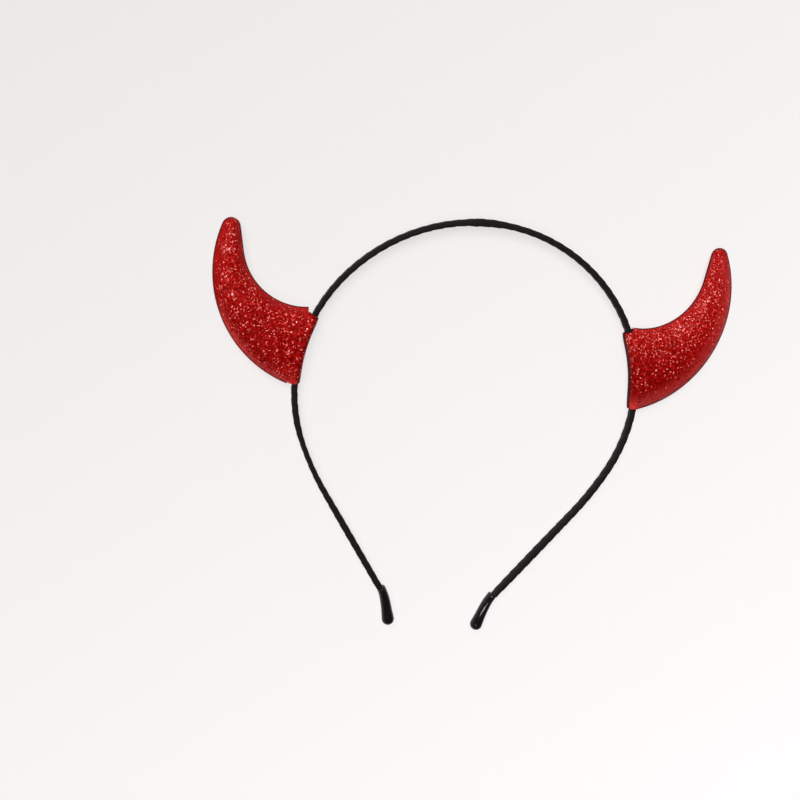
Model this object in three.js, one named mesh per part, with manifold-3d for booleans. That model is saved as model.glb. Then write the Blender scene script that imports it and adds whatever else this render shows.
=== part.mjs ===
// Horn headband: a slim band wound with ribbon, two padded horns folded round it, and a cap on each end.
// It lies on its back, as it does on a table, with the crown towards +Y and the front of the horns up.
// Lengths are millimetres and angles are degrees, until they are turned into radians.
import * as THREE from 'three';
import { mergeVertices } from 'three/addons/utils/BufferGeometryUtils.js';
import Module from 'manifold-3d';

const wasm = await Module();
wasm.setup();

// Clearance between pieces that touch
const gap = 0.3;

// Centre line of half the band, from the crown to an end, with turns towards the head counted as positive
const sideRadius = 54.7;
const centreLine = [
  { stretch: 'crown', radius: 61.6, turn: 50 },
  { stretch: 'side', radius: sideRadius, turn: 65 },
  { stretch: 'temple', radius: 104, turn: 11 },
  { stretch: 'leg', length: 40.2 },
  { stretch: 'flare', radius: 24, turn: -20 },
  { stretch: 'end', length: 4.3 },
];
const ribbonStretches = ['crown', 'side', 'temple', 'leg'];

// Ribbon winding: across is in the plane of the band, height is square to that plane
const ribbon = { across: 1.8, height: 3.2, turnLength: 4, edgeStep: 0.16, sides: 12, squareness: 4 };

// Bare end of the strip inside the winding, which a cap sits on
const strip = { across: 0.8, height: 2, length: 6.5, steps: 6 };

// Cap sections from its mouth to the middle of its bulb: share of that length, and half sizes
const capSections = [
  { share: 0, across: 1.35, height: 1.9 },
  { share: 0.04, across: 1.55, height: 2.1 },
  { share: 0.12, across: 1.52, height: 2.05 },
  { share: 0.28, across: 1.68, height: 2 },
  { share: 0.45, across: 1.78, height: 1.95 },
  { share: 0.62, across: 1.84, height: 1.95 },
  { share: 0.78, across: 1.94, height: 2 },
  { share: 0.9, across: 2.1, height: 2.1 },
  { share: 1, across: 2.2, height: 2.2 },
];
const capSides = 16;
const bulbSteps = 5;

// Share of a step at which a rounded end closes with a small flat
const endStep = 0.5;

// Horn outline in the frame of its seat: x is out from the band's centre line, y is towards the crown.
// The outer edge is one arc about this hub, and a round tip lies inside it
const hornHub = { x: -4.1, y: 27 };
const tipRadius = 3;

// Horn padding: half its thickness where it is wide, half the sealed rim's, and the width that rolls off
const padding = 4.1;
const sealedRim = 0.4;
const rollOff = 6.5;
const edgeStations = 17;
const tipStations = 6;
const pointsAcross = 12;

// Fold of a horn round the band: half its tail's height in the horn, its walls, and its lap onto the horn
const neck = { tailHeight: 1.4, wall: 0.8, lap: 0.3, steps: 12, nosePoints: 8, endScale: 0.86 };

// Each horn is cut and set by hand: seat is how far the band has turned there, outerRadius is its outer
// arc's, innerEdge is the arc of its hollow side, bearing is the tip's on the outer arc, and foot is how far
// out its rim starts. Its fold reaches above and below the seat, from a nose inside the band to a tail
const hornPlaces = [
  {
    name: 'horn_left', side: -1, seat: 81.1, outerRadius: 39.9, innerEdge: { x: 7.6, y: 33.5, radius: 20.5 },
    bearing: 7.8, foot: 1.3, fold: { above: 11.9, below: 11.9, nose: 1.8, tail: 2.6 },
  },
  {
    name: 'horn_right', side: 1, seat: 76.3, outerRadius: 40.7, innerEdge: { x: 6.3, y: 36.2, radius: 21.3 },
    bearing: 15.2, foot: -0.5, fold: { above: 14.9, below: 13.3, nose: 2.4, tail: 1.8 },
  },
];
const tipPlaces = [
  { name: 'tip_left', side: -1 },
  { name: 'tip_right', side: 1 },
];

// How far the padding is pressed flat where the horns rest
const settle = 0.5;

// A block this large on each side trims the pieces
const trimBlock = 160;

// Finishes
const satin = { color: 0x191615, roughness: 0.62, metalness: 0 };
const glitterFabric = { color: 0xc4201f, roughness: 0.4, metalness: 0.2 };
const glossPlastic = { color: 0x0c0b0c, roughness: 0.15, metalness: 0 };

const radians = THREE.MathUtils.degToRad;

// Lengths along the centre line
const stretchLength = (row) => row.length ?? row.radius * radians(Math.abs(row.turn));
const lengthOf = (rows) => rows.reduce((sum, row) => sum + stretchLength(row), 0);
const halfLength = lengthOf(centreLine);
const ribbonEnd = lengthOf(centreLine.filter((row) => ribbonStretches.includes(row.stretch)));
const capStart = ribbonEnd + gap;
const stripEnd = ribbonEnd + strip.length;

/** Place on the centre line and the outward direction there, the left half at negative distances. */
function bandAt(distance) {
  const place = new THREE.Vector2();
  let heading = 0;
  let rest = Math.abs(distance);
  for (const row of centreLine) {
    const run = Math.min(rest, stretchLength(row));
    if (row.turn) {
      const radius = row.radius * Math.sign(row.turn);
      const next = heading + run / radius;
      place.x += radius * (Math.sin(next) - Math.sin(heading));
      place.y += radius * (Math.cos(next) - Math.cos(heading));
      heading = next;
    } else {
      place.x += run * Math.cos(heading);
      place.y -= run * Math.sin(heading);
    }
    rest -= run;
  }
  const outward = new THREE.Vector2(Math.sin(heading), Math.cos(heading));
  if (distance < 0) {
    place.x *= -1;
    outward.x *= -1;
  }
  return { place, outward };
}

/** A point beside the centre line: across is outward in the band's plane, height is along +Z. */
function besideBand(distance, across, height) {
  const { place, outward } = bandAt(distance);
  return new THREE.Vector3(place.x + across * outward.x, place.y + across * outward.y, height);
}

/** A rounded section as pairs of across and height, anticlockwise. */
function roundedSection(halfAcross, halfHeight, sides, squareness = 2) {
  const power = 2 / squareness;
  return Array.from({ length: sides }, (_, i) => {
    const angle = (2 * Math.PI * i) / sides - Math.PI / 2;
    const across = Math.cos(angle);
    const height = Math.sin(angle);
    return [
      halfAcross * Math.sign(across) * Math.abs(across) ** power,
      halfHeight * Math.sign(height) * Math.abs(height) ** power,
    ];
  });
}

/** A rectangular section as pairs of across and height, anticlockwise. */
function squareSection(halfAcross, halfHeight) {
  return [
    [halfAcross, -halfHeight],
    [halfAcross, halfHeight],
    [-halfAcross, halfHeight],
    [-halfAcross, -halfHeight],
  ];
}

/** Geometry from corner points and triangles that share them. */
function indexedGeometry(points, triangles) {
  const geometry = new THREE.BufferGeometry();
  const positions = points.flatMap((point) => point.toArray());
  geometry.setAttribute('position', new THREE.Float32BufferAttribute(positions, 3));
  geometry.setIndex(triangles.flat());
  return geometry;
}

/** Middle of a ring of points. */
function middleOf(ring) {
  const middle = new THREE.Vector3();
  ring.forEach((point) => middle.add(point));
  return middle.divideScalar(ring.length);
}

/** A closed loft through rings of equal length, each anticlockwise when it is seen from the last ring. */
function loft(rings) {
  const size = rings[0].length;
  const points = rings.flat();
  const triangles = [];
  for (let r = 0; r + 1 < rings.length; r += 1) {
    for (let i = 0; i < size; i += 1) {
      const a = r * size + i;
      const b = r * size + ((i + 1) % size);
      triangles.push([a, b, b + size], [a, b + size, a + size]);
    }
  }
  const first = points.push(middleOf(rings[0])) - 1;
  const last = points.push(middleOf(rings[rings.length - 1])) - 1;
  const lastRing = (rings.length - 1) * size;
  for (let i = 0; i < size; i += 1) {
    const next = (i + 1) % size;
    triangles.push([first, next, i], [last, lastRing + i, lastRing + next]);
  }
  return indexedGeometry(points, triangles);
}

/** A section swept along the band from one distance to a greater one. */
function sweepAlongBand(from, to, steps, section) {
  return loft(Array.from({ length: steps + 1 }, (_, i) => {
    const distance = THREE.MathUtils.lerp(from, to, i / steps);
    return section.map(([across, height]) => besideBand(distance, across, height));
  }));
}

/** The same geometry with one axis reversed and its faces still pointing out. */
function mirrored(geometry, axisSigns) {
  const copy = geometry.clone().scale(...axisSigns);
  const index = copy.getIndex();
  for (let i = 0; i < index.count; i += 3) {
    const kept = index.getX(i + 1);
    index.setX(i + 1, index.getX(i + 2));
    index.setX(i + 2, kept);
  }
  return copy;
}

/** A solid for joining and cutting, from closed geometry. */
function toSolid(geometry) {
  const bare = geometry.clone();
  bare.deleteAttribute('normal');
  bare.deleteAttribute('uv');
  const merged = mergeVertices(bare);
  return new wasm.Manifold(new wasm.Mesh({
    numProp: 3,
    vertProperties: new Float32Array(merged.getAttribute('position').array),
    triVerts: new Uint32Array(merged.getIndex().array),
  }));
}

/** Geometry of a solid after its joins and cuts. */
function toGeometry(solid) {
  const mesh = solid.getMesh();
  const geometry = new THREE.BufferGeometry();
  geometry.setAttribute('position', new THREE.Float32BufferAttribute(mesh.vertProperties, 3));
  geometry.setIndex(Array.from(mesh.triVerts));
  geometry.computeVertexNormals();
  return geometry;
}

/** A named mesh with its own material. */
function piece(name, solid, finish) {
  const mesh = new THREE.Mesh(toGeometry(solid), new THREE.MeshStandardMaterial(finish));
  mesh.name = name;
  return mesh;
}

/** One ribbon wound in overlapping turns: each turn rises over the last one's edge and steps down again. */
function woundRibbon(from, to) {
  const { sides, edgeStep, squareness } = ribbon;
  const half = { across: ribbon.across / 2, height: ribbon.height / 2 };
  const turns = Math.round((to - from) / ribbon.turnLength);
  const turnLength = (to - from) / turns;
  const under = roundedSection(half.across - edgeStep, half.height - edgeStep, sides, squareness);
  const over = roundedSection(half.across, half.height, sides, squareness);
  const last = (turns - 1) * sides;
  const points = [];
  for (let k = 0; k <= last; k += 1) {
    const distance = from + (turnLength * k) / sides;
    points.push(besideBand(distance, ...under[k % sides]));
    points.push(besideBand(distance + turnLength, ...over[k % sides]));
  }
  const low = (k) => 2 * k;
  const high = (k) => 2 * k + 1;
  const triangles = [];
  for (let k = 0; k < last; k += 1) {
    triangles.push([low(k), low(k + 1), high(k + 1)], [low(k), high(k + 1), high(k)]);
    if (k + sides < last) {
      const step = [low(k + sides), low(k + sides + 1)];
      triangles.push([high(k), high(k + 1), step[1]], [high(k), step[1], step[0]]);
    }
  }
  const first = points.push(besideBand(from, 0, 0)) - 1;
  const end = points.push(besideBand(to, 0, 0)) - 1;
  for (let k = 0; k < sides; k += 1) {
    const tail = last - sides + k;
    triangles.push([first, low(k + 1), low(k)], [end, high(tail), high(tail + 1)]);
  }
  triangles.push([first, high(0), low(sides)], [first, low(0), high(0)]);
  triangles.push([end, high(last), low(last)], [end, low(last), high(last - sides)]);
  return indexedGeometry(points, triangles);
}

/** A block whose near face crosses the band squarely at a distance, and which fills the way beyond it. */
function blockBeyond(distance) {
  const { place, outward } = bandAt(distance);
  const side = Math.sign(distance);
  const along = new THREE.Vector2(outward.y, -outward.x).multiplyScalar(side);
  const reach = ribbon.height;
  const centre = place.clone().addScaledVector(along, reach);
  const block = new THREE.BoxGeometry(2 * reach, 2 * reach, 2 * reach);
  return block.rotateZ(along.angle()).translate(centre.x, centre.y, 0);
}

/** The wound band, trimmed square, with a bare end of its strip at each side. */
function bandSolid() {
  const spare = ribbon.turnLength;
  let solid = toSolid(woundRibbon(-ribbonEnd - spare, ribbonEnd + spare));
  const section = squareSection(strip.across / 2, strip.height / 2);
  for (const side of [-1, 1]) {
    const ends = [side * (ribbonEnd - spare), side * stripEnd].sort((a, b) => a - b);
    solid = solid.subtract(toSolid(blockBeyond(side * ribbonEnd)));
    solid = solid.add(toSolid(sweepAlongBand(...ends, strip.steps, section)));
  }
  return solid;
}

/** A cap: a flattened mouth, a bent body and a round bulb, with a socket for the strip. */
function capSolid(side) {
  const toBulb = halfLength - capStart;
  const bulb = capSections[capSections.length - 1];
  const rows = capSections.map((row) => ({ ...row, at: capStart + row.share * toBulb }));
  for (let i = 1; i <= bulbSteps; i += 1) {
    const angle = (Math.PI / 2) * (i / (bulbSteps + endStep));
    const shrink = Math.cos(angle);
    const at = halfLength + bulb.across * Math.sin(angle);
    rows.push({ at, across: bulb.across * shrink, height: bulb.height * shrink });
  }
  const rings = rows.map((row) => {
    const { place, outward } = bandAt(Math.min(row.at, halfLength));
    const past = Math.max(row.at - halfLength, 0);
    const along = new THREE.Vector3(outward.y, -outward.x, 0);
    return roundedSection(row.across, row.height, capSides).map(([across, height]) => (
      new THREE.Vector3(place.x + across * outward.x, place.y + across * outward.y, height)
        .addScaledVector(along, past)
    ));
  });
  const socketSection = squareSection(strip.across / 2 + gap, strip.height / 2 + gap);
  const socket = sweepAlongBand(ribbonEnd - gap, stripEnd + gap, strip.steps, socketSection);
  const turned = (geometry) => toSolid(side > 0 ? geometry : mirrored(geometry, [-1, 1, 1]));
  return turned(loft(rings)).subtract(turned(socket));
}

/** A point on an arc, at an angle in radians. */
function onArc(arc, angle) {
  return new THREE.Vector2(arc.x + arc.radius * Math.cos(angle), arc.y + arc.radius * Math.sin(angle));
}

/** Pairs of edge points across a horn, from its foot along both edges and round its tip. */
function hornStations({ outerRadius, innerEdge, bearing, foot }) {
  const outerEdge = { ...hornHub, radius: outerRadius };
  const outerAngle = radians(bearing);
  const tipCentre = onArc({ ...hornHub, radius: outerRadius - tipRadius }, outerAngle);
  const tip = { x: tipCentre.x, y: tipCentre.y, radius: tipRadius };

  // The inner edge leaves its arc for a straight run that just touches the round tip
  const toTip = tipCentre.clone().sub(innerEdge);
  const swing = Math.acos((innerEdge.radius + tip.radius) / toTip.length());
  const leave = Math.atan2(toTip.y, toTip.x) - swing;
  const leavePoint = onArc(innerEdge, leave);
  const tipPoint = onArc(tip, leave + Math.PI);
  const footAngle = (arc) => -Math.acos((foot - arc.x) / arc.radius);
  const arcRun = innerEdge.radius * (leave - footAngle(innerEdge));
  const straightRun = leavePoint.distanceTo(tipPoint);
  const alongOuter = (share) => (
    onArc(outerEdge, THREE.MathUtils.lerp(footAngle(outerEdge), outerAngle, share))
  );
  const alongInner = (share) => {
    const run = share * (arcRun + straightRun);
    if (run < arcRun) return onArc(innerEdge, footAngle(innerEdge) + run / innerEdge.radius);
    return leavePoint.clone().lerp(tipPoint, (run - arcRun) / straightRun);
  };

  const edges = Array.from({ length: edgeStations }, (_, i) => {
    const share = i / (edgeStations - 1);
    return { outer: alongOuter(share), inner: alongInner(share) };
  });
  const halfSweep = (leave + Math.PI - outerAngle) / 2;
  const round = Array.from({ length: tipStations }, (_, i) => {
    const turn = halfSweep * ((i + 1) / (tipStations + endStep));
    return { outer: onArc(tip, outerAngle + turn), inner: onArc(tip, leave + Math.PI - turn) };
  });
  return [...edges, ...round];
}

/** Half the horn's thickness on a station: v runs from 0 at one edge to 1 at the other. */
function padHeight(width, v) {
  const full = (padding * width) / Math.hypot(width, 2 * padding);
  const fromEdge = Math.min(v, 1 - v) * width;
  const fall = 1 - Math.min(fromEdge / Math.min(rollOff, width / 2), 1);
  return sealedRim + Math.max(full - sealedRim, 0) * (1 - fall ** 2);
}

/** The padded horn itself: plump in the middle and thin at its sealed rim. */
function hornBody(horn) {
  const rings = hornStations(horn).map(({ outer, inner }) => {
    const width = outer.distanceTo(inner);
    const across = Array.from({ length: pointsAcross + 1 }, (_, i) => (
      (1 + Math.cos((Math.PI * i) / pointsAcross)) / 2
    ));
    const at = (v, face) => {
      const place = outer.clone().lerp(inner, v);
      return new THREE.Vector3(place.x, place.y, face * padHeight(width, v));
    };
    const top = across.map((v) => at(v, 1));
    const bottom = across.map((v) => at(v, -1)).reverse();
    return [...top, ...bottom];
  });
  return loft(rings);
}

/** A section swept along the side's arc, in the frame of a horn's seat: a function gives each section. */
function sweepAlongSeat(above, below, sectionAt) {
  return loft(Array.from({ length: neck.steps + 1 }, (_, i) => {
    const distance = THREE.MathUtils.lerp(above, -below, i / neck.steps);
    const angle = distance / sideRadius;
    const isEnd = i === 0 || i === neck.steps;
    return sectionAt(distance, isEnd).map(([across, height]) => new THREE.Vector3(
      (sideRadius + across) * Math.cos(angle) - sideRadius,
      (sideRadius + across) * Math.sin(angle),
      height,
    ));
  }));
}

/** The fold of fabric round the band: a round nose inside, and a tail that runs into the horn. */
function hornNeck(horn) {
  const { above, below, nose, tail } = horn.fold;
  const [start] = hornStations(horn);
  const footWidth = start.outer.distanceTo(start.inner);
  const least = ribbon.height / 2 + gap + neck.wall;
  const shoulder = Math.max(horn.foot, 0) + neck.lap;
  return sweepAlongSeat(above, below, (distance, isEnd) => {
    const scale = isEnd ? neck.endScale : 1;
    const half = Math.max(padHeight(footWidth, (distance - start.outer.y) / footWidth), least) * scale;
    const round = Array.from({ length: neck.nosePoints + 1 }, (_, i) => {
      const angle = Math.PI * (0.5 + i / neck.nosePoints);
      return [nose * scale * Math.cos(angle), half * Math.sin(angle)];
    });
    return [[tail, -neck.tailHeight], [tail, neck.tailHeight], [shoulder, half], ...round, [shoulder, -half]];
  });
}

/** The way through the fold that the band takes. */
function bandTunnel(horn) {
  const { across, height, sides, squareness } = ribbon;
  const section = roundedSection(across / 2 + gap, height / 2 + gap, sides, squareness);
  const { above, below } = horn.fold;
  return sweepAlongSeat(above + ribbon.turnLength, below + ribbon.turnLength, () => section);
}

/** One horn in the frame of its seat, pressed flat by the surface it rests on. */
function hornSolid(horn, floorBlock) {
  const turned = (geometry) => toSolid(horn.side > 0 ? geometry : mirrored(geometry, [1, -1, 1]));
  const padded = turned(hornBody(horn)).add(turned(hornNeck(horn)));
  return padded.subtract(turned(bandTunnel(horn))).subtract(toSolid(floorBlock));
}

// The lying headband leans on its horns and on its two bulbs
const bulbRadius = capSections[capSections.length - 1].height;
const tipY = bandAt(halfLength).place.y;
const crown = centreLine[0];
const seatDistance = ({ side, seat }) => (
  side * (stretchLength(crown) + sideRadius * radians(seat - crown.turn))
);
const seatYs = hornPlaces.map((place) => bandAt(seatDistance(place)).place.y);
const seatY = seatYs.reduce((sum, y) => sum + y, 0) / seatYs.length;
const lying = new THREE.Group();
lying.rotation.x = Math.atan2(padding - settle - bulbRadius, seatY - tipY);
lying.position.z = bulbRadius - tipY * Math.sin(lying.rotation.x);
lying.updateMatrix();

lying.add(piece('band', bandSolid(), satin));

for (const horn of hornPlaces) {
  const { place } = bandAt(seatDistance(horn));
  const stand = new THREE.Object3D();
  stand.position.set(place.x, place.y, 0);
  stand.rotation.z = Math.PI / 2 - horn.side * radians(horn.seat);
  stand.updateMatrix();
  const toWorld = lying.matrix.clone().multiply(stand.matrix);
  const floorBlock = new THREE.BoxGeometry(trimBlock, trimBlock, trimBlock)
    .translate(place.x, place.y, -trimBlock / 2)
    .applyMatrix4(toWorld.invert());
  const mesh = piece(horn.name, hornSolid(horn, floorBlock), glitterFabric);
  mesh.position.copy(stand.position);
  mesh.rotation.copy(stand.rotation);
  lying.add(mesh);
}

for (const { name, side } of tipPlaces) {
  lying.add(piece(name, capSolid(side), glossPlastic));
}

// The origin is under the middle of the headband's box
const headband = new THREE.Group();
headband.name = 'horn_headband';
headband.add(lying);
headband.updateMatrixWorld(true);
const middle = new THREE.Box3().setFromObject(headband, true).getCenter(new THREE.Vector3());
lying.position.x -= middle.x;
lying.position.y -= middle.y;

export default headband;
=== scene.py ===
"""Horn headband: the ribbon, glitter fabric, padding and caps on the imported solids."""

import math

import bpy
import numpy as np
from mathutils import Matrix, Vector, kdtree


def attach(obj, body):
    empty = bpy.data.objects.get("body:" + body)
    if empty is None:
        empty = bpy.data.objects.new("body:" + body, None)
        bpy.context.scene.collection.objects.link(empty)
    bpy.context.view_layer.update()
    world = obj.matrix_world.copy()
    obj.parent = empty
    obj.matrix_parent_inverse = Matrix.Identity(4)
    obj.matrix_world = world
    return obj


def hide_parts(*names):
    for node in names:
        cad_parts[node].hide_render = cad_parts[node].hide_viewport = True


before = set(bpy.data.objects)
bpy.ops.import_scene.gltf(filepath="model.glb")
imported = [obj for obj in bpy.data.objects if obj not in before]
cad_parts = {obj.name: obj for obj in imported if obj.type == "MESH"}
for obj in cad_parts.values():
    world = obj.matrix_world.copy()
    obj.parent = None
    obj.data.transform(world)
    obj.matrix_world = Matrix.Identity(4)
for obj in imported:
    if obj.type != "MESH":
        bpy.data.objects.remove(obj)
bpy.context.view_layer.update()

# Pieces are sized in millimetres and degrees, the floor and the light in metres
MM = 0.001
# The least length that anything is divided by, in metres
TINY = 1e-9

# How the headband lies: its tilt about the X axis and where the top of its centre line is
LYING_TILT = 0.843
LYING_PLACE = (1.1415, 70.7532, 4.2833)
# The horns' fabric stays this far above the floor
FLOOR_CLEAR = 0.02

# Half the band's centre line, from the crown to an end, with turns towards the head counted as positive
SIDE_RADIUS = 54.7
CENTRE_LINE = (
    dict(stretch="crown", radius=61.6, turn=50),
    dict(stretch="side", radius=SIDE_RADIUS, turn=65),
    dict(stretch="temple", radius=104, turn=11),
    dict(stretch="leg", length=40.2),
    dict(stretch="flare", radius=24, turn=-20),
    dict(stretch="end", length=4.3),
)
WOUND = ("crown", "side", "temple", "leg")
LINE_STEP = 1.0
LINE_SPARE = 6.0
# The caps start a little past the wound stretches
GAP = 0.3

# Ribbon: across is in the band's plane, height is square to it, and each turn laps over the last one
RIBBON = dict(across=1.8, height=3.2, pitch=4.0, lap=0.9, step=0.26, thick=0.1, sides=36, squareness=4,
              smooth=40)
# Its profile: place across it as a share of its width, and depth as a share of the step
RIBBON_PROFILE = (
    dict(across=0.0, deep=1.0),
    dict(across=0.16, deep=0.62),
    dict(across=0.5, deep=0.3),
    dict(across=0.86, deep=0.04),
    dict(across=1.0, deep=0.16),
)
# Wound by hand, it is thicker in places: share of the way from the crown, left negative, and size added
LOOSE = (
    (-1, 0.55), (-0.84, 0.58), (-0.76, 0.32), (-0.71, 0.12), (-0.66, 0.14), (-0.62, 0.42),
    (-0.4, 0.24), (-0.15, 0.34), (-0.06, 0.5), (-0.04, 0.95), (0, 0.8), (0.02, 0.5),
    (0.4, 0.3), (0.75, 0.36), (0.88, 0.68), (0.96, 0.55), (1, 0.2),
)
# Strip inside it: its bare ends are thinner, by a share of its sizes
STRIP = dict(across=1.25, height=2.6, bevel=0.3, length_cuts=200, end=6.5,
             end_across=0.6, end_height=0.76, smooth=40)
BEVEL_STEPS = 2

# Cap sections from its mouth to the middle of its bulb: share of that length, and half sizes
CAP_SECTIONS = (
    dict(share=0.0, across=1.3, height=1.82),
    dict(share=0.015, across=1.45, height=2.0),
    dict(share=0.05, across=1.56, height=2.1),
    dict(share=0.12, across=1.54, height=2.06),
    dict(share=0.28, across=1.68, height=2.0),
    dict(share=0.45, across=1.78, height=1.95),
    dict(share=0.62, across=1.84, height=1.95),
    dict(share=0.78, across=1.94, height=2.0),
    dict(share=0.9, across=2.1, height=2.1),
    dict(share=1.0, across=2.2, height=2.2),
)
CAP_SIDES = 40
CAP_SMOOTH = 60
BULB_STEPS = 9
# The mouth sits towards the head: how far, and the share of the length over which that is lost
CAP_LEAN = dict(mouth=0.42, run=0.6)

# Horn outline in the frame of its seat: x is out from the band's centre line, y is towards the crown
HORN_HUB = (-4.1, 27.0)
TIP_RADIUS = 3.0
OUTLINE_STEP = 0.5
# Outline: the outer arc's radius about the hub, the hollow's centre and radius, and the tip's bearing
# Fabric: painted shade on the fold's side up to a height, painted shade from deep to full red along y, a
# painted sheen in one corner, and at its edges fewer flakes, partly wear and partly painted shade, and a
# painted sheen.
# The outer edge's band of fewer flakes goes from its first width to its second over the fade along y
HORNS = (
    dict(name="left", side=-1, seat=81.1, outer=39.9, inner=(7.6, 33.5, 20.5), bearing=7.8, foot=1.3,
         dark=2.3, deep=-10.0, full=22.0, corner=0.95,
         wear_and_shade_outer=(3.4, 1.0), fade=(0, 10), edge_sheen=4.5, wear_and_shade_inner=2.8),
    dict(name="right", side=1, seat=76.3, outer=40.7, inner=(6.3, 36.2, 21.3), bearing=15.2, foot=-0.5,
         dark=1.2, deep=-5.0, full=14.0, corner=0.0,
         wear_and_shade_outer=(11.0, 5.0), fade=(24, 44), edge_sheen=8.0, wear_and_shade_inner=1.5),
)
# Painted sheen along the inner edge: its most share and its width
INNER_SHEEN = dict(most=0.3, width=4.0)
# The corner below the fold, where a painted sheen makes the red full again on one horn: out from the band,
# and along y
FOOT_CORNER = dict(out=(5.0, 10.0), along=(-9.0, -3.0))
# The fold's side, painted dark as shade: how far it faces the band, how far out it goes, and its limit as
# shares of its height
FOLD_SIDE = dict(facing=(0.35, 0.6), out=(0.5, 1.6), limit=(0.8, 1.2))

# Padding: the fabric is drawn shallow, held near the fold and the edge, and blown out by a capped amount
PAD = dict(voxel=0.42, weld=0.001, smooth=0.5, first_passes=4, last_passes=2, shallow=0.91)
HELD = dict(fold=(2.0, 4.5), edge=(0.8, 3.0))
PUFF = dict(scale=100, pressure=55.0, frames=20, cap=0.4)
# Sealed edge: the padding draws back from it by the seam, over the roll
EDGE_STRIP = dict(height=0.62, seam=0.28, roll=3.2, foot=1.75, foot_run=1.3, bevel=0.16, sharp=50)
# Flakes: none near the rim, on the fold's side painted as shade or by the floor, and the least share at the
# edges, where fewer flakes stand partly for wear and partly for painted shade; tones deepen low down as
# painted shade
FLAKES = dict(size=0.42, jitter=0.15, tilt=0.11, lift=0.04, thick=0.04, clear_rim=0.3, clear_fold=0.3,
              clear_floor=3 * FLOOR_CLEAR, least=0.12, wear_and_shade_from=0.2, shade_deepening=1.7, seed=7, tilt_seed=8)

# Finishes: colours, sizes of the patterns, and relief as a strength and a depth
FABRIC = dict(
    # Deep and full red mix by grain, and as painted shade low down
    deep=(0.19, 0.0012, 0.0012, 1),
    red=(0.43, 0.008, 0.008, 1),
    # The edge sheen colour is a painted sheen at the horns' edges
    edge_sheen=(0.55, 0.038, 0.036, 1),
    # The fold colour is painted shade on the fold's side
    fold=(0.050, 0.0016, 0.002, 1),
    grains=2600.0,
    rough=(0.35, 0.7),
    specular=0.03,
    relief=(0.6, 0.12),
)
# Each flake has a tone from 0 to 1, and turns red, takes a painted glint and gets its coat over these tones
FILM = dict(
    deep=(0.17, 0.0006, 0.0005, 1),
    red=(0.56, 0.007, 0.004, 1),
    # The bright colour is a painted glint
    bright=(0.95, 0.22, 0.19, 1),
    red_tones=(0.0, 0.8),
    bright_tones=(0.78, 0.96),
    coat_tones=(0.4, 0.95),
    rough=(0.38, 0.55),
    metallic=0.15,
    specular=0.02,
    coat_rough=0.18,
)
SEAL = dict(
    dark=(0.050, 0.006, 0.006, 1),
    light=(0.15, 0.013, 0.013, 1),
    fibres={"Scale": 2200.0, "Detail": 3.0},
    rough=0.8,
    specular=0.05,
    relief=(0.5, 0.08),
)
SATIN = dict(
    black=(0.0052, 0.0040, 0.0038, 1),
    sheen=(0.013, 0.0105, 0.0102, 1),
    threads={"Scale": 7.0, "Distortion": 0.6, "Detail": 1.0},
    weft={"Scale": 18.0, "Distortion": 1.2},
    rough=(0.62, 0.45),
    specular=0.12,
    relief=(0.5, 0.06),
)
PLASTIC = dict(
    black=(0.004, 0.003, 0.004, 1),
    sheen=(0.009, 0.008, 0.009, 1),
    waves={"Scale": 420.0, "Detail": 2.0},
    wave_range=(0.3, 0.7),
    rough=(0.04, 0.1),
    specular=0.26,
    relief=(0.02, 0.1),
)
# A Mix node's sockets for two colours and for the mixed one, which share their names with other sockets
MIX_COLOURS = (6, 7)
MIX_RESULT = 2

# The floor glows more than it is lit, so that the shadows on it are faint, and it is painted with shade
# that grows towards the upper left
FLOOR = dict(
    size=6.0,
    tones=((0.172, 0.1686, 0.1653, 1), (0.2133, 0.2059, 0.2068, 1)),
    grade_along=(0.68, -0.73, 0),
    grade_reach=0.2,
    glow=3.7,
    rough=0.9,
    specular=0.1,
)
# The sky is bright low down, more so at the upper left, and dark higher up but for one soft bright patch
SKY = dict(
    colour=(1.0, 0.985, 0.98, 1),
    low=0.9,
    fade=0.4,
    higher=0.05,
    bright_from=(-0.8, 0.6, 0),
    side_range=(-0.6, 0.6),
    dim_side=0.55,
    patch=11.8,
    patch_from=(-0.3, 0.42, 0.86),
    patch_range=(0.93, 0.98),
)
# A slim light nearly overhead, for the line of light on the right cap
SLIM_LIGHT = dict(towards=(-0.279, -0.256, 0.926), along=(0.909, -0.363, 0.206), distance=1.2,
                  length=0.72, width=0.06, power=2.6)
# The camera's place and directions are in the frame of the centre line, before it is laid down
CAMERA = dict(
    place=(-113.68, 21.61, 386.09),
    right=(0.9701, 0.1452, 0.1945),
    up=(-0.0979, 0.9673, -0.2339),
    lens=54.0,
    sensor=36.0,
    clip=10.0,
)


def make_active(piece):
    """Selects one piece alone."""
    bpy.ops.object.select_all(action="DESELECT")
    piece.select_set(True)
    bpy.context.view_layer.objects.active = piece


def apply_modifier(piece, kind, **settings):
    """Adds a modifier with its settings and applies it."""
    make_active(piece)
    modifier = piece.modifiers.new(kind.lower(), kind)
    for key, value in settings.items():
        setattr(modifier, key, value)
    bpy.ops.object.modifier_apply(modifier=modifier.name)


def named(name):
    """The object that an operator has just added, under its own name."""
    piece = bpy.context.object
    piece.name = piece.data.name = name
    return piece


def copied(source, name):
    """A copy of a piece, with a mesh of its own."""
    piece = source.copy()
    piece.data = source.data.copy()
    bpy.context.scene.collection.objects.link(piece)
    piece.name = piece.data.name = name
    return piece


def points_of(piece):
    """A mesh's vertices as an array."""
    flat = np.empty(len(piece.data.vertices) * 3, np.float32)
    piece.data.vertices.foreach_get("co", flat)
    return flat.reshape(-1, 3).astype(float)


def set_points(piece, points):
    """Puts an array of vertices back into a mesh."""
    piece.data.vertices.foreach_set("co", points.astype(np.float32).ravel())
    piece.data.update()


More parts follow.
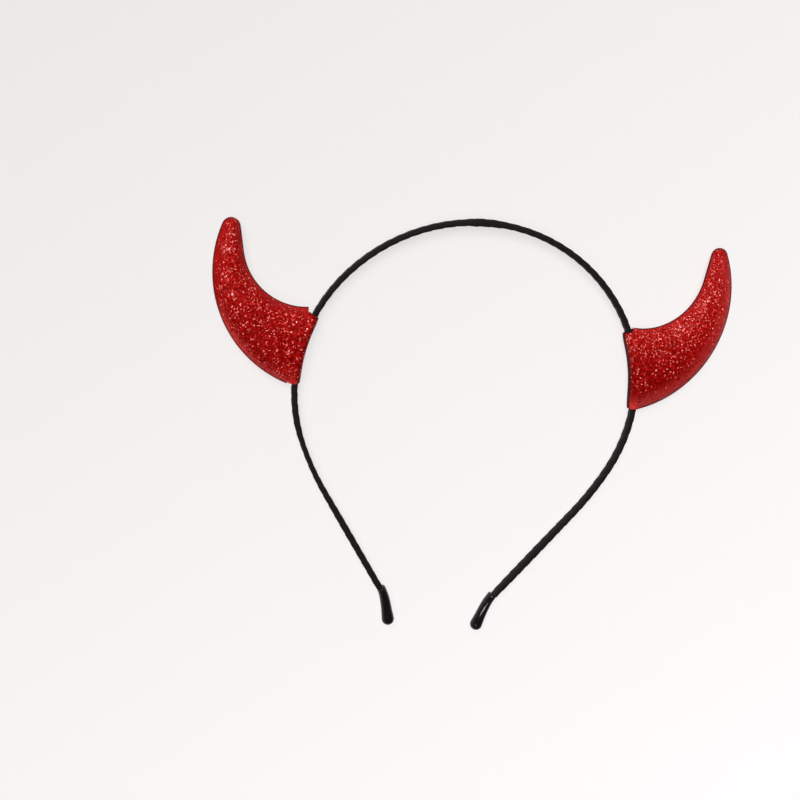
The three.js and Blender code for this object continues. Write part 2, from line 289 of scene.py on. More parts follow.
def normals_of(piece):
    """A mesh's vertex normals as an array."""
    flat = np.empty(len(piece.data.vertices) * 3, np.float32)
    piece.data.vertex_normals.foreach_get("vector", flat)
    return flat.reshape(-1, 3).astype(float)


def set_attribute(piece, name, values):
    """A number at each vertex, for the materials to read."""
    attribute = piece.data.attributes.new(name, "FLOAT", "POINT")
    attribute.data.foreach_set("value", np.asarray(values, np.float32))


def smoothstep(low, high, values):
    """A soft step from 0 at low to 1 at high."""
    t = np.clip((values - low) / (high - low), 0, 1)
    return t * t * (3 - 2 * t)


# The band's centre line

def stretch_length(row):
    """The length of one stretch of the centre line."""
    return row.get("length") or row["radius"] * math.radians(abs(row["turn"]))


HALF_LENGTH = sum(stretch_length(row) for row in CENTRE_LINE)
WOUND_END = sum(stretch_length(row) for row in CENTRE_LINE if row["stretch"] in WOUND)
LYING = Matrix.Translation(Vector(LYING_PLACE) * MM) @ Matrix.Rotation(math.radians(LYING_TILT), 4, "X")


def band_at(distance):
    """A place on the centre line, the left half at negative distances."""
    x = y = heading = 0.0
    rest = abs(distance)
    for row in CENTRE_LINE:
        run = min(rest, stretch_length(row))
        rest -= run
        if "turn" in row:
            radius = math.copysign(row["radius"], row["turn"])
            after = heading + run / radius
            x += radius * (math.sin(after) - math.sin(heading))
            y += radius * (math.cos(after) - math.cos(heading))
            heading = after
        else:
            x += run * math.cos(heading)
            y -= run * math.sin(heading)
    x += rest * math.cos(heading)
    y -= rest * math.sin(heading)
    return math.copysign(x, distance), y


def band_line():
    """The centre line as a curve from the left end to the right, with a spare length past each end."""
    reach = HALF_LENGTH + LINE_SPARE
    count = int(2 * reach / LINE_STEP) + 1
    curve = bpy.data.curves.new("band_line", "CURVE")
    curve.dimensions = "3D"
    curve.twist_mode = "Z_UP"
    spline = curve.splines.new("POLY")
    spline.points.add(count - 1)
    for point, distance in zip(spline.points, np.linspace(-reach, reach, count)):
        x, y = band_at(distance)
        point.co = (x * MM, y * MM, 0, 1)
    line = bpy.data.objects.new("band_line", curve)
    bpy.context.scene.collection.objects.link(line)
    return line


def along_line(distance):
    """A distance from the crown as a distance from the line's start."""
    return (distance + HALF_LENGTH + LINE_SPARE) * MM


def lay_along(piece, line):
    """Bends a straight piece along the band and lays it down."""
    apply_modifier(piece, "CURVE", object=line, deform_axis="POS_X")
    piece.data.transform(LYING)


# Ribbon and strip

def wound_ribbon(line):
    """One ribbon wound from end to end: a slanted profile is screwed along, trimmed and thickened."""
    reach = WOUND_END + GAP
    turns = round(2 * reach / RIBBON["pitch"])
    pitch = 2 * reach / turns
    bpy.ops.object.select_all(action="DESELECT")
    bpy.ops.mesh.primitive_circle_add(vertices=len(RIBBON_PROFILE), radius=MM)
    ribbon = named("band_ribbon")
    bpy.ops.object.mode_set(mode="EDIT")
    bpy.ops.mesh.select_all(action="DESELECT")
    bpy.ops.object.mode_set(mode="OBJECT")
    for edge in ribbon.data.edges:
        edge.select = set(edge.vertices) == {0, len(RIBBON_PROFILE) - 1}
    bpy.ops.object.mode_set(mode="EDIT")
    bpy.ops.mesh.select_mode(type="EDGE")
    bpy.ops.mesh.delete(type="EDGE")
    bpy.ops.object.mode_set(mode="OBJECT")
    width = pitch + RIBBON["lap"]
    half = RIBBON["height"] / 2
    set_points(ribbon, np.array([
        (row["across"] * width * MM, 0, (half - row["deep"] * RIBBON["step"]) * MM)
        for row in RIBBON_PROFILE
    ]))
    apply_modifier(ribbon, "SCREW", axis="X", angle=2 * math.pi, steps=RIBBON["sides"],
                   render_steps=RIBBON["sides"], iterations=turns + 1, screw_offset=pitch * MM,
                   use_merge_vertices=False, use_normal_calculate=True)

    # The round winding becomes flat-sided, and each point keeps its place on the ribbon for the weave
    points = points_of(ribbon) / MM
    angle = np.arctan2(points[:, 2], points[:, 1])
    swell = np.hypot(points[:, 1], points[:, 2]) / half
    power = 2 / RIBBON["squareness"]
    flat = np.sign(np.cos(angle)) * np.abs(np.cos(angle)) ** power
    tall = np.sign(np.sin(angle)) * np.abs(np.sin(angle)) ** power
    inset = half * (1 - swell)
    start = along_line(-reach) / MM - pitch
    loose = np.interp((points[:, 0] - pitch) / reach - 1, *zip(*LOOSE))
    set_points(ribbon, MM * np.column_stack((
        points[:, 0] + start,
        ((RIBBON["across"] + loose) / 2 - inset) * flat,
        (half - inset) * tall,
    )))
    step, place = np.divmod(np.arange(len(points)), len(RIBBON_PROFILE))
    set_attribute(ribbon, "ribbon_across", np.array([row["across"] for row in RIBBON_PROFILE])[place])
    set_attribute(ribbon, "ribbon_along", step / RIBBON["sides"])

    # The spare turn is trimmed off square at both ends, where the caps start
    make_active(ribbon)
    bpy.ops.object.mode_set(mode="EDIT")
    bpy.ops.mesh.select_all(action="SELECT")
    bpy.ops.mesh.normals_make_consistent(inside=False)
    for side in (-1, 1):
        bpy.ops.mesh.select_all(action="SELECT")
        bpy.ops.mesh.bisect(plane_co=(along_line(side * reach), 0, 0), plane_no=(side, 0, 0),
                            clear_outer=True)
    bpy.ops.object.mode_set(mode="OBJECT")
    apply_modifier(ribbon, "SOLIDIFY", thickness=RIBBON["thick"] * MM, offset=-1)
    lay_along(ribbon, line)
    bpy.ops.object.shade_smooth_by_angle(angle=math.radians(RIBBON["smooth"]))
    return ribbon


def select_along(piece):
    """Selects the edges that run along a straight piece, and nothing else."""
    for face in piece.data.polygons:
        face.select = False
    for edge in piece.data.edges:
        a, b = (piece.data.vertices[i].co for i in edge.vertices)
        edge.select = abs(a.x - b.x) > MM


def inner_strip(line):
    """The strip that the ribbon is wound on, with its bare ends in the caps."""
    reach = WOUND_END + STRIP["end"] - GAP
    bpy.ops.object.select_all(action="DESELECT")
    bpy.ops.mesh.primitive_cube_add(size=1)
    strip = named("band_strip")
    bpy.ops.object.mode_set(mode="EDIT")
    bpy.ops.transform.resize(value=(2 * reach * MM, STRIP["across"] * MM, STRIP["height"] * MM))
    bpy.ops.transform.translate(value=(along_line(0), 0, 0))
    bpy.ops.object.mode_set(mode="OBJECT")
    make_active(strip)
    select_along(strip)
    bpy.ops.object.mode_set(mode="EDIT")
    bpy.ops.mesh.select_mode(type="EDGE")
    bpy.ops.mesh.bevel(offset=STRIP["bevel"] * MM, segments=BEVEL_STEPS)
    bpy.ops.object.mode_set(mode="OBJECT")
    select_along(strip)
    bpy.ops.object.mode_set(mode="EDIT")
    bpy.ops.mesh.subdivide(number_cuts=STRIP["length_cuts"])
    bpy.ops.object.mode_set(mode="OBJECT")

    # The bare ends are thinner than the wound length, so that they go into the caps
    points = points_of(strip)
    bare = np.abs(points[:, 0] - along_line(0)) > (WOUND_END - GAP) * MM
    points[bare, 1] *= STRIP["end_across"]
    points[bare, 2] *= STRIP["end_height"]
    set_points(strip, points)
    lay_along(strip, line)
    bpy.ops.object.shade_smooth_by_angle(angle=math.radians(STRIP["smooth"]))
    return strip


# Caps

def cap(line, side):
    """A glossy cap: a ring is drawn out by sections, rounded off and bent, and the left one is mirrored."""
    start = WOUND_END + GAP
    to_bulb = HALF_LENGTH - start
    bulb = CAP_SECTIONS[-1]
    rows = [(start + row["share"] * to_bulb, row["across"], row["height"]) for row in CAP_SECTIONS]
    for i in range(1, BULB_STEPS):
        turn = math.pi / 2 * i / BULB_STEPS
        shrink = math.cos(turn)
        end = HALF_LENGTH + bulb["across"] * math.sin(turn)
        rows.append((end, bulb["across"] * shrink, bulb["height"] * shrink))
    bpy.ops.object.select_all(action="DESELECT")
    bpy.ops.mesh.primitive_circle_add(vertices=CAP_SIDES, radius=MM, fill_type="NGON",
                                      rotation=(0, math.pi / 2, 0))
    piece = named("tip_cap_right" if side > 0 else "tip_cap_left")
    bpy.ops.object.transform_apply(location=False, rotation=True, scale=False)
    bpy.ops.object.mode_set(mode="EDIT")
    bpy.ops.mesh.select_mode(type="FACE")
    bpy.ops.mesh.select_all(action="SELECT")
    place, across, height = Vector((0, 0, 0)), 1.0, 1.0
    for i, (distance, next_across, next_height) in enumerate(rows):
        share = (distance - start) / to_bulb
        lean = -CAP_LEAN["mouth"] * (1 - smoothstep(0, CAP_LEAN["run"], share))
        next_place = Vector((along_line(distance), lean * MM, 0))
        if i:
            bpy.ops.mesh.extrude_region_move(TRANSFORM_OT_translate={"value": next_place - place})
        else:
            bpy.ops.transform.translate(value=next_place)
        bpy.ops.transform.resize(value=(1, next_across / across, next_height / height),
                                 center_override=next_place)
        place, across, height = next_place, next_across, next_height
    bpy.ops.mesh.merge(type="CENTER")
    bpy.ops.mesh.select_all(action="SELECT")
    bpy.ops.mesh.normals_make_consistent(inside=False)
    bpy.ops.object.mode_set(mode="OBJECT")
    apply_modifier(piece, "SUBSURF", levels=1, render_levels=1)
    apply_modifier(piece, "CURVE", object=line, deform_axis="POS_X")
    if side < 0:
        make_active(piece)
        bpy.ops.object.mode_set(mode="EDIT")
        bpy.ops.mesh.select_all(action="SELECT")
        bpy.ops.transform.mirror(constraint_axis=(True, False, False), center_override=(0, 0, 0))
        bpy.ops.mesh.normals_make_consistent(inside=False)
        bpy.ops.object.mode_set(mode="OBJECT")
    piece.data.transform(LYING)
    make_active(piece)
    bpy.ops.object.shade_smooth_by_angle(angle=math.radians(CAP_SMOOTH))
    return piece


# Horns

def on_arc(centre, radius, angle):
    """A point on an arc."""
    return Vector((centre[0] + radius * math.cos(angle), centre[1] + radius * math.sin(angle)))


def arc_points(centre, radius, start, end):
    """Points along an arc, about one outline step apart."""
    count = max(2, int(abs(end - start) * radius / OUTLINE_STEP))
    return [on_arc(centre, radius, start + (end - start) * i / count) for i in range(count + 1)]


def horn_outline(horn):
    """The horn's edge in the frame of its seat, from the lower corner round the tip to the upper one."""
    *inner, inner_radius = horn["inner"]
    bearing = math.radians(horn["bearing"])
    tip = on_arc(HORN_HUB, horn["outer"] - TIP_RADIUS, bearing)
    to_tip = tip - Vector(inner)
    swing = math.acos((inner_radius + TIP_RADIUS) / to_tip.length)
    leave = math.atan2(to_tip.y, to_tip.x) - swing

    def foot_angle(centre, radius):
        """Where an arc meets the line of the horn's foot."""
        return -math.acos((horn["foot"] - centre[0]) / radius)

    outer = arc_points(HORN_HUB, horn["outer"], foot_angle(HORN_HUB, horn["outer"]), bearing)
    end = arc_points(tip, TIP_RADIUS, bearing, leave + math.pi)
    straight_end = on_arc(inner, inner_radius, leave)
    run = end[-1] - straight_end
    count = max(2, int(run.length / OUTLINE_STEP))
    straight = [end[-1] - run * i / count for i in range(1, count)]
    hollow = arc_points(inner, inner_radius, leave, foot_angle(inner, inner_radius))
    return outer + end[1:] + straight + hollow


def seat_matrix(horn):
    """From the frame of a horn's seat, in millimetres, to the row's frame, in metres."""
    crown = CENTRE_LINE[0]
    distance = stretch_length(crown) + SIDE_RADIUS * math.radians(horn["seat"] - crown["turn"])
    x, y = band_at(horn["side"] * distance)
    turn = math.pi / 2 - horn["side"] * math.radians(horn["seat"])
    mirror = Matrix.Diagonal((1, horn["side"], 1, 1))
    seat = Matrix.Translation((x * MM, y * MM, 0)) @ Matrix.Rotation(turn, 4, "Z")
    return LYING @ seat @ mirror @ Matrix.Scale(MM, 4)


def in_seat(points, horn):
    """Points in the row's frame as points in the frame of a horn's seat, in millimetres."""
    back = np.array(seat_matrix(horn).inverted())
    return points @ back[:3, :3].T + back[:3, 3]


def rim_reading(seat_points, horn):
    """Each point's distance in plan from the horn's edge, and the inward direction there."""
    outline = np.array([tuple(p) for p in horn_outline(horn)])
    ahead = np.gradient(outline, axis=0)
    inward = np.column_stack((-ahead[:, 1], ahead[:, 0]))
    inward /= np.linalg.norm(inward, axis=1)[:, None]
    tree = kdtree.KDTree(len(outline))
    for i, (x, y) in enumerate(outline):
        tree.insert((x, y, 0), i)
    tree.balance()
    found = [tree.find((x, y, 0)) for x, y, _ in seat_points]
    return np.array([hit[2] for hit in found]), inward[[hit[1] for hit in found]]


def fabric_readings(piece, horn):
    """Each point's distance from the nearest edge and from the outer one, and how much painted shade the
    fold's side has.
    """
    seat_points = in_seat(points_of(piece), horn)
    distance, _ = rim_reading(seat_points, horn)
    from_outer = horn["outer"] - np.hypot(*(seat_points[:, :2] - HORN_HUB).T)
    towards = normals_of(piece) @ np.array(seat_matrix(horn).to_3x3()) / MM
    out, _, height = seat_points.T
    side = smoothstep(*FOLD_SIDE["facing"], -towards[:, 0]) * (1 - smoothstep(*FOLD_SIDE["out"], out))
    low = 1 - smoothstep(*(share * horn["dark"] for share in FOLD_SIDE["limit"]), height)
    return distance, from_outer, side * low


def low_share(piece, horn):
    """How far each point is below the fade of the outer edge's fewer flakes and painted sheen, from 0 at
    the tip to 1.
    """
    return 1 - smoothstep(*horn["fade"], in_seat(points_of(piece), horn)[:, 1])


def painted_sheen_share(piece, horn):
    """How much painted sheen the fabric has at each point, along the outer edge and a little along the
    inner one.
    """
    distance, from_outer, _ = fabric_readings(piece, horn)
    outer = low_share(piece, horn) * (1 - smoothstep(0, horn["edge_sheen"], from_outer))
    width = INNER_SHEEN["width"]
    inner = (1 - smoothstep(0, width, distance)) * smoothstep(0, width, from_outer - distance)
    return np.maximum(outer, INNER_SHEEN["most"] * inner)


def painted_light_share(piece, horn):
    """How much painted light the red has: painted shade from 0 low down to 1, and painted sheen in the
    corner below the fold.
    """
    out, along, _ = in_seat(points_of(piece), horn).T
    corner = (1 - smoothstep(*FOOT_CORNER["out"], out)) * (1 - smoothstep(*FOOT_CORNER["along"], along))
    return np.maximum(smoothstep(horn["deep"], horn["full"], along), horn["corner"] * corner)


def puff(piece, held):
    """Blows the padding out with cloth, held at its sealed edge and at the fold, by a capped amount."""
    rest = points_of(piece)
    set_points(piece, rest * PUFF["scale"])
    group = piece.vertex_groups.new(name="held")
    for i, weight in enumerate(held):
        if weight > 0:
            group.add([i], float(weight), "REPLACE")
    cloth = piece.modifiers.new("padding", "CLOTH")
    cloth.settings.use_pressure = True
    cloth.settings.uniform_pressure_force = PUFF["pressure"]
    cloth.settings.effector_weights.gravity = 0
    cloth.settings.vertex_group_mass = group.name
    for step in range(1, PUFF["frames"] + 1):
        bpy.context.scene.frame_set(step)
    make_active(piece)
    bpy.ops.object.modifier_apply(modifier=cloth.name)
    moved = points_of(piece) / PUFF["scale"] - rest
    length = np.linalg.norm(moved, axis=1)
    moved *= np.minimum(1, PUFF["cap"] * MM / np.maximum(length, TINY))[:, None]
    set_points(piece, rest + moved)
    piece.vertex_groups.clear()
    bpy.context.scene.frame_set(1)


def padded_horn(horn):
    """The padded body: the solid's form, drawn in at its sealed edge, blown out and smoothed."""
    body = copied(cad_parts["horn_" + horn["name"]], "horn_padded_" + horn["name"])
    body.parent = None
    for key in list(body.keys()):
        del body[key]
    body.data.materials.clear()
    make_active(body)
    bpy.ops.object.mode_set(mode="EDIT")
    bpy.ops.mesh.select_all(action="SELECT")
    bpy.ops.mesh.remove_doubles(threshold=PAD["weld"] * MM)
    bpy.ops.mesh.normals_make_consistent(inside=False)
    bpy.ops.object.mode_set(mode="OBJECT")
    body.data.remesh_voxel_size = PAD["voxel"] * MM
    bpy.ops.object.voxel_remesh()
    apply_modifier(body, "SMOOTH", factor=PAD["smooth"], iterations=PAD["first_passes"])

    # The edge is drawn in, so that the sealed strip shows round it
    points = points_of(body)
    seat_points = in_seat(points, horn)
    distance, inward = rim_reading(seat_points, horn)
    pull = EDGE_STRIP["seam"] * (1 - np.clip(distance / EDGE_STRIP["roll"], 0, 1)) ** 2
    turn = np.array(seat_matrix(horn).to_3x3())
    points += np.column_stack((inward * pull[:, None], np.zeros(len(points)))) @ turn.T
    set_points(body, points)
    fold = 1 - smoothstep(*HELD["fold"], seat_points[:, 0])
    edge = 1 - smoothstep(*HELD["edge"], distance)
    held = np.maximum(fold, edge)
    slack = (1 - PAD["shallow"]) * (1 - held) * seat_points[:, 2] * MM
    set_points(body, points - slack[:, None] * turn[:, 2] / MM)
    puff(body, held)
    apply_modifier(body, "SMOOTH", factor=PAD["smooth"], iterations=PAD["last_passes"])
    points = points_of(body)
    points[:, 2] = np.maximum(points[:, 2], FLOOR_CLEAR * MM)
    set_points(body, points)

    # For the fabric's colour: painted shade on the fold's side, painted sheen at the edges, painted shade
    # low down
    *_, dark = fabric_readings(body, horn)
    set_attribute(body, "painted_fold_shade", dark)
    set_attribute(body, "painted_edge_sheen", painted_sheen_share(body, horn))
    set_attribute(body, "painted_light_share", painted_light_share(body, horn))
    make_active(body)
    bpy.ops.object.shade_smooth()
    return body


def sealed_edge(horn):
    """The flat strip of sealed fabric that shows as a thin line round the horn."""
    outline = [tuple(p) for p in horn_outline(horn)]
    (_, low), (_, high) = outline[0], outline[-1]
    foot, run = EDGE_STRIP["foot"], EDGE_STRIP["foot_run"]
    ring = outline + [(foot, high - run), (foot, low + run)]
    bpy.ops.object.select_all(action="DESELECT")
    bpy.ops.mesh.primitive_circle_add(vertices=len(ring), radius=1, fill_type="NGON")
    edge = named("horn_edge_" + horn["name"])
    half = EDGE_STRIP["height"] / 2
    set_points(edge, np.array([(x, y, -half) for x, y in ring]))
    bpy.ops.object.mode_set(mode="EDIT")
    bpy.ops.mesh.select_all(action="SELECT")
    bpy.ops.mesh.extrude_region_move(TRANSFORM_OT_translate={"value": (0, 0, 2 * half)})
    bpy.ops.mesh.select_all(action="SELECT")
    bpy.ops.mesh.normals_make_consistent(inside=False)
    bpy.ops.object.mode_set(mode="OBJECT")
    apply_modifier(edge, "BEVEL", width=EDGE_STRIP["bevel"], segments=BEVEL_STEPS, limit_method="ANGLE",
                   angle_limit=math.radians(EDGE_STRIP["sharp"]))
    edge.data.transform(seat_matrix(horn))
    if horn["side"] < 0:
        edge.data.flip_normals()
    make_active(edge)
    bpy.ops.object.shade_smooth_by_angle(angle=math.radians(EDGE_STRIP["sharp"]))
    return edge


def glitter(horn, body):
    """Loose flakes on the fabric: its faces are split apart, tipped at random and given a thickness."""
    flakes = copied(body, "horn_glitter_" + horn["name"])
    make_active(flakes)
    flakes.data.remesh_voxel_size = FLAKES["size"] * MM
    bpy.ops.object.voxel_remesh()
    draw = np.random.RandomState(FLAKES["seed"] + horn["side"])
    points = points_of(flakes)
    distance, from_outer, fold = fabric_readings(flakes, horn)
    # Fewer flakes at the edges, partly wear and partly painted shade where the slopes turn from the light
    edge_band, edge_band_late = horn["wear_and_shade_outer"]
    edge_band = edge_band_late + (edge_band - edge_band_late) * low_share(flakes, horn)
    kept = np.minimum(
        smoothstep(FLAKES["wear_and_shade_from"] * edge_band, edge_band, from_outer),
        smoothstep(FLAKES["wear_and_shade_from"] * horn["wear_and_shade_inner"], horn["wear_and_shade_inner"], distance),
    )
    keep_share = FLAKES["least"] + (1 - FLAKES["least"]) * kept
    for face in flakes.data.polygons:
        corners = list(face.vertices)
        bare = (
            distance[corners].min() < FLAKES["clear_rim"]
            or fold[corners].max() > FLAKES["clear_fold"]
            or points[corners, 2].min() < FLAKES["clear_floor"] * MM
        )
        face.select = bool(bare or draw.rand() > keep_share[corners].mean())
    bpy.ops.object.mode_set(mode="EDIT")
    bpy.ops.mesh.select_mode(type="FACE")
    bpy.ops.mesh.delete(type="FACE")
    bpy.ops.mesh.select_all(action="SELECT")
    bpy.ops.transform.vertex_random(offset=FLAKES["jitter"] * MM, uniform=1, normal=0,
                                    seed=FLAKES["seed"], wait_for_input=False)
    bpy.ops.mesh.edge_split(type="EDGE")
    bpy.ops.mesh.select_all(action="SELECT")
    bpy.ops.transform.shrink_fatten(value=FLAKES["lift"] * MM)
    bpy.ops.transform.vertex_random(offset=FLAKES["tilt"] * MM, uniform=0, normal=1,
                                    seed=FLAKES["tilt_seed"], wait_for_input=False)
    bpy.ops.object.mode_set(mode="OBJECT")
    points = points_of(flakes)
    points[:, 2] = np.maximum(points[:, 2], (FLOOR_CLEAR + FLAKES["thick"]) * MM)
    set_points(flakes, points)
    tones = np.zeros(len(flakes.data.vertices))
    for face in flakes.data.polygons:
        tones[list(face.vertices)] = draw.rand()
    # Flake tones deepen low down as painted shade, with fewer painted glints there
    set_attribute(flakes, "tone", tones ** (1 + FLAKES["shade_deepening"] * (1 - painted_light_share(flakes, horn))))
    apply_modifier(flakes, "SOLIDIFY", thickness=FLAKES["thick"] * MM, offset=-1)
    make_active(flakes)
    bpy.ops.object.shade_flat()
    return flakes


# Materials

def new_material(name):
    """An empty node material, with its shader."""
    material = bpy.data.materials.new(name)
    material.use_nodes = True
    tree = material.node_tree
    return material, tree, tree.nodes["Principled BSDF"]


def node(tree, kind, values=(), **settings):
    """A node with its settings, and values for its inputs by name or number."""
    made = tree.nodes.new(kind)
    for key, value in settings.items():
        setattr(made, key, value)
    for key, value in dict(values).items():
        made.inputs[key].default_value = value
    return made


def link(tree, start, end):
    """Joins an output of one node to an input of another."""
    tree.links.new(start, end)


def reading(tree, name):
    """A piece's own attribute as a number."""
    return node(tree, "ShaderNodeAttribute", attribute_name=name).outputs["Fac"]


def mixed(tree, share, first, second):
    """A colour between two, each a colour or an output of a node."""
    mix = node(tree, "ShaderNodeMix", data_type="RGBA")
    link(tree, share, mix.inputs["Factor"])
    for number, value in zip(MIX_COLOURS, (first, second)):
        socket = mix.inputs[number]
        if isinstance(value, bpy.types.NodeSocket):
            link(tree, value, socket)
        else:
            socket.default_value = value
    return mix.outputs[MIX_RESULT]


def ranged(tree, value, low, high, to_low=0.0, to_high=1.0):
    """A number moved from one range to another, kept within it."""
    made = node(tree, "ShaderNodeMapRange",
                {"From Min": low, "From Max": high, "To Min": to_low, "To Max": to_high})
    link(tree, value, made.inputs["Value"])
    return made.outputs["Result"]


def facing(tree, vector, direction):
    """How far a vector goes along a direction."""
    dot = node(tree, "ShaderNodeVectorMath", operation="DOT_PRODUCT")
    dot.inputs[1].default_value = Vector(direction).normalized()
    link(tree, vector, dot.inputs[0])
    return dot.outputs["Value"]


def bumped(tree, shader, height, strength, depth):
    """Relief on a shader, from a height."""
    bump = node(tree, "ShaderNodeBump", {"Strength": strength, "Distance": depth * MM})
    link(tree, height, bump.inputs["Height"])
    link(tree, bump.outputs["Normal"], shader.inputs["Normal"])


def fabric_material():
    """Red fabric under the flakes, in light and deep grains, with painted shade low down, a painted sheen
    at the edges and painted shade on the fold's side.
    """
    material, tree, shader = new_material("glitter_fabric")
    place = node(tree, "ShaderNodeTexCoord").outputs["Object"]
    grains = node(tree, "ShaderNodeTexVoronoi", {"Scale": FABRIC["grains"]})
    link(tree, place, grains.inputs["Vector"])
    grain_tone = node(tree, "ShaderNodeSeparateColor")
    link(tree, grains.outputs["Color"], grain_tone.inputs["Color"])
    # The grains' red deepens low down as painted shade, with a painted sheen in one corner
    fullness = node(tree, "ShaderNodeMath", operation="MULTIPLY")
    link(tree, grain_tone.outputs["Red"], fullness.inputs[0])
    link(tree, reading(tree, "painted_light_share"), fullness.inputs[1])
    red = mixed(tree, fullness.outputs["Value"], FABRIC["deep"], FABRIC["red"])
    # Painted sheen at the edges, then painted shade on the fold's side
    edge_band = mixed(tree, reading(tree, "painted_edge_sheen"), red, FABRIC["edge_sheen"])
    colour = mixed(tree, reading(tree, "painted_fold_shade"), edge_band, FABRIC["fold"])
    link(tree, colour, shader.inputs["Base Color"])
    rough = ranged(tree, grain_tone.outputs["Green"], 0, 1, *FABRIC["rough"])
    link(tree, rough, shader.inputs["Roughness"])
    shader.inputs["Specular IOR Level"].default_value = FABRIC["specular"]
    bumped(tree, shader, grains.outputs["Distance"], *FABRIC["relief"])
    return material


def flake_material():
    """Glitter flakes: red film, each flake lighter or darker, the lightest with a painted glint, the
    lighter ones under a clear coat.
    """
    material, tree, shader = new_material("glitter_flakes")
    tone = reading(tree, "tone")
    red = mixed(tree, ranged(tree, tone, *FILM["red_tones"]), FILM["deep"], FILM["red"])
    # The brightest tones are painted glints
    colour = mixed(tree, ranged(tree, tone, *FILM["bright_tones"]), red, FILM["bright"])
    link(tree, ranged(tree, tone, *FILM["coat_tones"]), shader.inputs["Coat Weight"])
    link(tree, colour, shader.inputs["Base Color"])
    link(tree, ranged(tree, tone, 0, 1, *FILM["rough"]), shader.inputs["Roughness"])
    shader.inputs["Metallic"].default_value = FILM["metallic"]
    shader.inputs["Specular IOR Level"].default_value = FILM["specular"]
    shader.inputs["Coat Roughness"].default_value = FILM["coat_rough"]
    return material


def edge_material():
    """The sealed edge: dark red-brown, with the rough look of cut fabric."""
    material, tree, shader = new_material("sealed_edge")
    place = node(tree, "ShaderNodeTexCoord").outputs["Object"]
    fibres = node(tree, "ShaderNodeTexNoise", SEAL["fibres"])
    link(tree, place, fibres.inputs["Vector"])
    colour = mixed(tree, fibres.outputs["Fac"], SEAL["dark"], SEAL["light"])
    link(tree, colour, shader.inputs["Base Color"])
    shader.inputs["Roughness"].default_value = SEAL["rough"]
    shader.inputs["Specular IOR Level"].default_value = SEAL["specular"]
    bumped(tree, shader, fibres.outputs["Fac"], *SEAL["relief"])
    return material


def ribbon_material():
    """Black satin ribbon: fine threads along it, with the weft across them."""
    material, tree, shader = new_material("satin_ribbon")
    spread = node(tree, "ShaderNodeCombineXYZ")
    link(tree, reading(tree, "ribbon_across"), spread.inputs["X"])
    link(tree, reading(tree, "ribbon_along"), spread.inputs["Y"])
    threads = node(tree, "ShaderNodeTexWave", SATIN["threads"], wave_type="BANDS", bands_direction="X")
    link(tree, spread.outputs["Vector"], threads.inputs["Vector"])
    weft = node(tree, "ShaderNodeTexWave", SATIN["weft"], wave_type="BANDS", bands_direction="Y")
    link(tree, spread.outputs["Vector"], weft.inputs["Vector"])
    weave = node(tree, "ShaderNodeMath", operation="MULTIPLY")
    link(tree, threads.outputs["Fac"], weave.inputs[0])
    link(tree, weft.outputs["Fac"], weave.inputs[1])
    colour = mixed(tree, weave.outputs["Value"], SATIN["black"], SATIN["sheen"])
    link(tree, colour, shader.inputs["Base Color"])
    rough = ranged(tree, weave.outputs["Value"], 0, 1, *SATIN["rough"])
    link(tree, rough, shader.inputs["Roughness"])
    shader.inputs["Specular IOR Level"].default_value = SATIN["specular"]
    bumped(tree, shader, weave.outputs["Value"], *SATIN["relief"])
    return material


def cap_material():
    """Glossy black plastic, with the faint waviness of a dipped coat."""
    material, tree, shader = new_material("cap_plastic")
    place = node(tree, "ShaderNodeTexCoord").outputs["Object"]
    waves = node(tree, "ShaderNodeTexNoise", PLASTIC["waves"])
    link(tree, place, waves.inputs["Vector"])
    colour = mixed(tree, waves.outputs["Fac"], PLASTIC["black"], PLASTIC["sheen"])
    link(tree, colour, shader.inputs["Base Color"])
    rough = ranged(tree, waves.outputs["Fac"], *PLASTIC["wave_range"], *PLASTIC["rough"])
    link(tree, rough, shader.inputs["Roughness"])
    shader.inputs["Specular IOR Level"].default_value = PLASTIC["specular"]
    bumped(tree, shader, waves.outputs["Fac"], *PLASTIC["relief"])
    return material


def dress(piece, material, slot, *nodes):
    """Gives a piece its material and its body, and hides the solids that it stands for; the slot is not
    used.
    """
    piece.data.materials.clear()
    piece.data.materials.append(material)
    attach(piece, "root")
    if nodes:
        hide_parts(*nodes)


# Pieces

line = band_line()
ribbon = wound_ribbon(line)
dress(ribbon, ribbon_material(), "ribbon", "band")
strip = inner_strip(line)
plastic = cap_material()
dress(strip, plastic, "ribbon")
for side, name in ((-1, "tip_left"), (1, "tip_right")):
    dress(cap(line, side), plastic, "cap_plastic", name)
bpy.data.objects.remove(line)

fabric = fabric_material()
film = flake_material()
seal = edge_material()
for horn in HORNS:
    body = padded_horn(horn)
    flakes = glitter(horn, body)
    dress(body, fabric, "glitter_fabric", "horn_" + horn["name"])
    dress(flakes, film, "glitter_fabric")
    dress(sealed_edge(horn), seal, "glitter_fabric")


# Floor, light and camera

def add_floor():
    """A plain near-white floor, which glows, with painted shade grading its tone darker towards the upper
    left.
    """
    bpy.ops.object.select_all(action="DESELECT")
    bpy.ops.mesh.primitive_plane_add(size=FLOOR["size"])
    floor = named("floor")
    material, tree, shader = new_material("floor_paper")
    place = node(tree, "ShaderNodeTexCoord").outputs["Object"]
    reach = FLOOR["grade_reach"]
    # Painted shade: the floor's tone grades darker towards the upper left
    grade = ranged(tree, facing(tree, place, FLOOR["grade_along"]), -reach, reach)
    colour = mixed(tree, grade, *FLOOR["tones"])
    link(tree, colour, shader.inputs["Base Color"])
    link(tree, colour, shader.inputs["Emission Color"])
    shader.inputs["Emission Strength"].default_value = FLOOR["glow"]
    shader.inputs["Roughness"].default_value = FLOOR["rough"]
    shader.inputs["Specular IOR Level"].default_value = FLOOR["specular"]
    floor.data.materials.append(material)


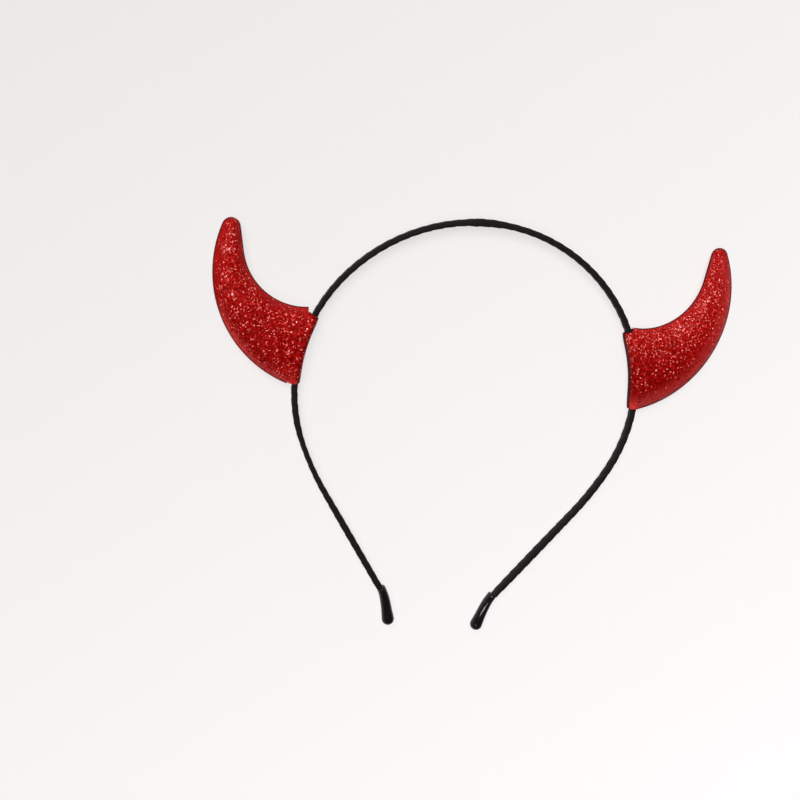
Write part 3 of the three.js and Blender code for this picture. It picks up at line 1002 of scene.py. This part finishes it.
def add_light():
    """A soft sky, and one slim light."""
    world = bpy.data.worlds.new("soft_sky")
    bpy.context.scene.world = world
    world.use_nodes = True
    tree = world.node_tree
    look = node(tree, "ShaderNodeTexCoord").outputs["Generated"]
    height = node(tree, "ShaderNodeSeparateXYZ")
    link(tree, look, height.inputs["Vector"])
    side = ranged(tree, facing(tree, look, SKY["bright_from"]), *SKY["side_range"], SKY["dim_side"])
    low_down = ranged(tree, height.outputs["Z"], 0, SKY["fade"], SKY["low"], SKY["higher"])
    patch = ranged(tree, facing(tree, look, SKY["patch_from"]), *SKY["patch_range"], 0, SKY["patch"])
    strength = node(tree, "ShaderNodeMath", operation="MULTIPLY_ADD")
    link(tree, low_down, strength.inputs[0])
    link(tree, side, strength.inputs[1])
    link(tree, patch, strength.inputs[2])
    sky = tree.nodes["Background"]
    sky.inputs["Color"].default_value = SKY["colour"]
    link(tree, strength.outputs["Value"], sky.inputs["Strength"])

    data = bpy.data.lights.new("slim_light", "AREA")
    data.shape = "RECTANGLE"
    data.size = SLIM_LIGHT["length"]
    data.size_y = SLIM_LIGHT["width"]
    data.energy = SLIM_LIGHT["power"]
    back = Vector(SLIM_LIGHT["towards"]).normalized()
    along = Vector(SLIM_LIGHT["along"])
    along = (along - back * along.dot(back)).normalized()
    slim = bpy.data.objects.new("slim_light", data)
    turn = Matrix((along, back.cross(along), back)).transposed().to_4x4()
    slim.matrix_world = Matrix.Translation(back * SLIM_LIGHT["distance"]) @ turn
    bpy.context.scene.collection.objects.link(slim)


def add_camera():
    """The camera at the photograph's angle to the headband."""
    right = (LYING.to_3x3() @ Vector(CAMERA["right"])).normalized()
    up = (LYING.to_3x3() @ Vector(CAMERA["up"])).normalized()
    back = right.cross(up).normalized()
    up = back.cross(right)
    turn = Matrix((right, up, back)).transposed().to_4x4()
    data = bpy.data.cameras.new("camera")
    data.lens = CAMERA["lens"]
    data.sensor_width = CAMERA["sensor"]
    data.clip_start = CAMERA["clip"] * MM
    camera = bpy.data.objects.new("camera", data)
    camera.matrix_world = Matrix.Translation(LYING @ (Vector(CAMERA["place"]) * MM)) @ turn
    bpy.context.scene.collection.objects.link(camera)
    bpy.context.scene.camera = camera


add_floor()
add_light()
add_camera()
bpy.context.scene.view_settings.view_transform = "Standard"
